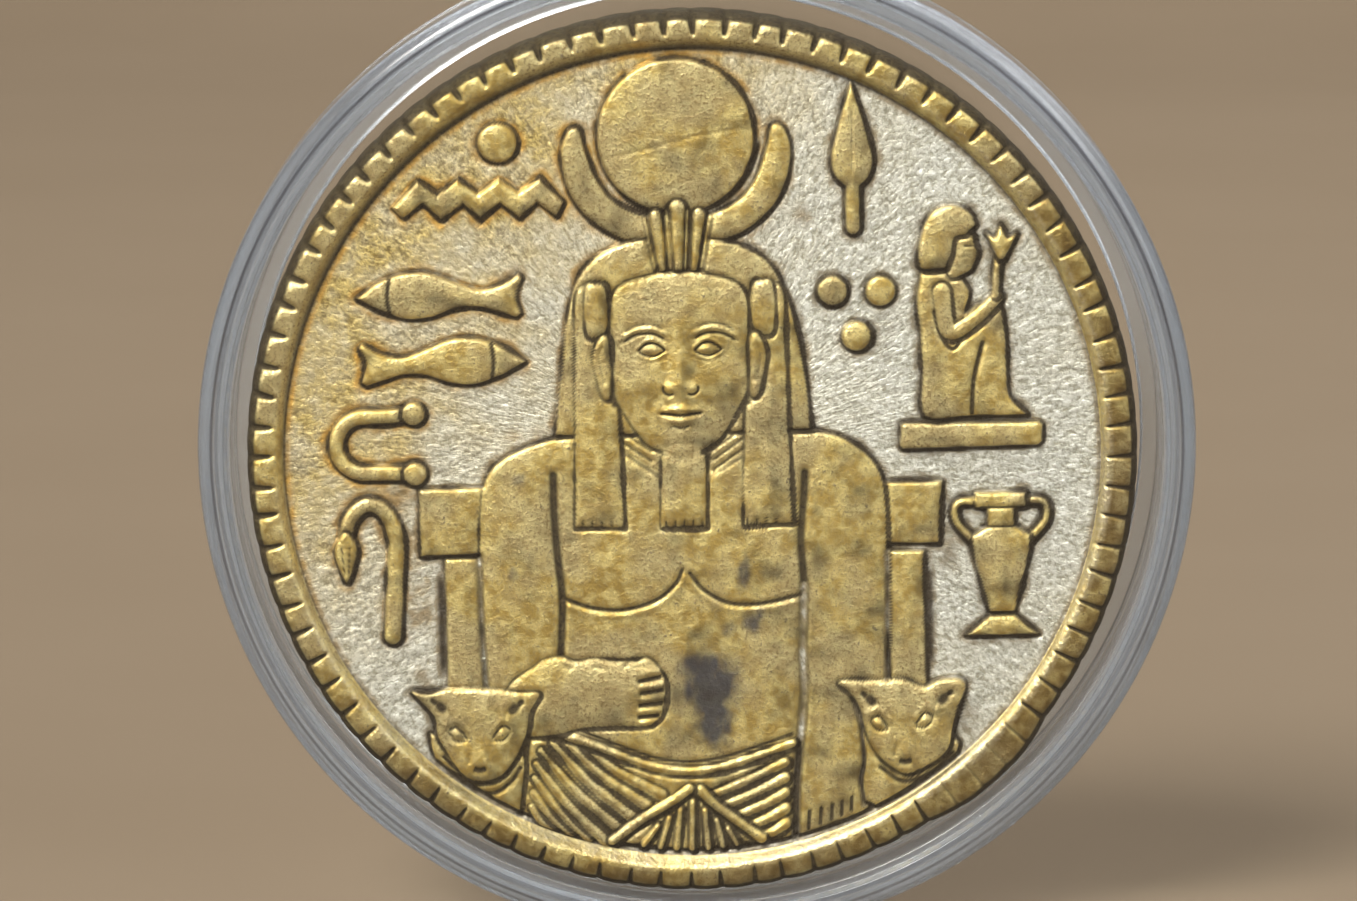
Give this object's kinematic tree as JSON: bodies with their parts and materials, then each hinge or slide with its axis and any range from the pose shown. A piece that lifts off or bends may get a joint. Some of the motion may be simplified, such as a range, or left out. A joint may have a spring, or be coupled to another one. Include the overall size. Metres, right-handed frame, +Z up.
{
  "type": "coin capsule",
  "caption": "Round clear snap-together capsule closed on a struck two-tone medal, with a lift-off lid and a medal free to turn inside.",
  "frame": {"origin": "centre of the closed capsule, halfway between the crests of its two raised rings", "axes": "+Y along the capsule's axis, out of the back window; the lid is on the -Y side; +Z is up in the stored pose, with the medal's figure upright; +X is to the right seen from the lid"},
  "size_m": [0.0434, 0.0064, 0.0434],
  "materials": {
    "clear_plastic_base": "clear polished moulding, finely scratched",
    "clear_plastic_lid": "clear polished moulding, finely scratched",
    "medal_metal": "worn brass relief on a silvered field, dark in the recesses"
  },
  "bodies": {
    "capsule": {"capsule_base": "clear_plastic_base"},
    "lid": {"capsule_lid": "clear_plastic_lid"},
    "medal": {"medal": "medal_metal"}
  },
  "joints": [
    {"name": "lid_slide", "type": "slide", "parent": "capsule", "child": "lid", "axis": [0, -1, 0], "range_m": [0, 0.02]},
    {"name": "medal_spin", "type": "hinge", "parent": "capsule", "child": "medal", "pos_m": [-0.0002, 0, -0.00045], "axis": [0, 1, 0], "continuous": true}
  ]
}
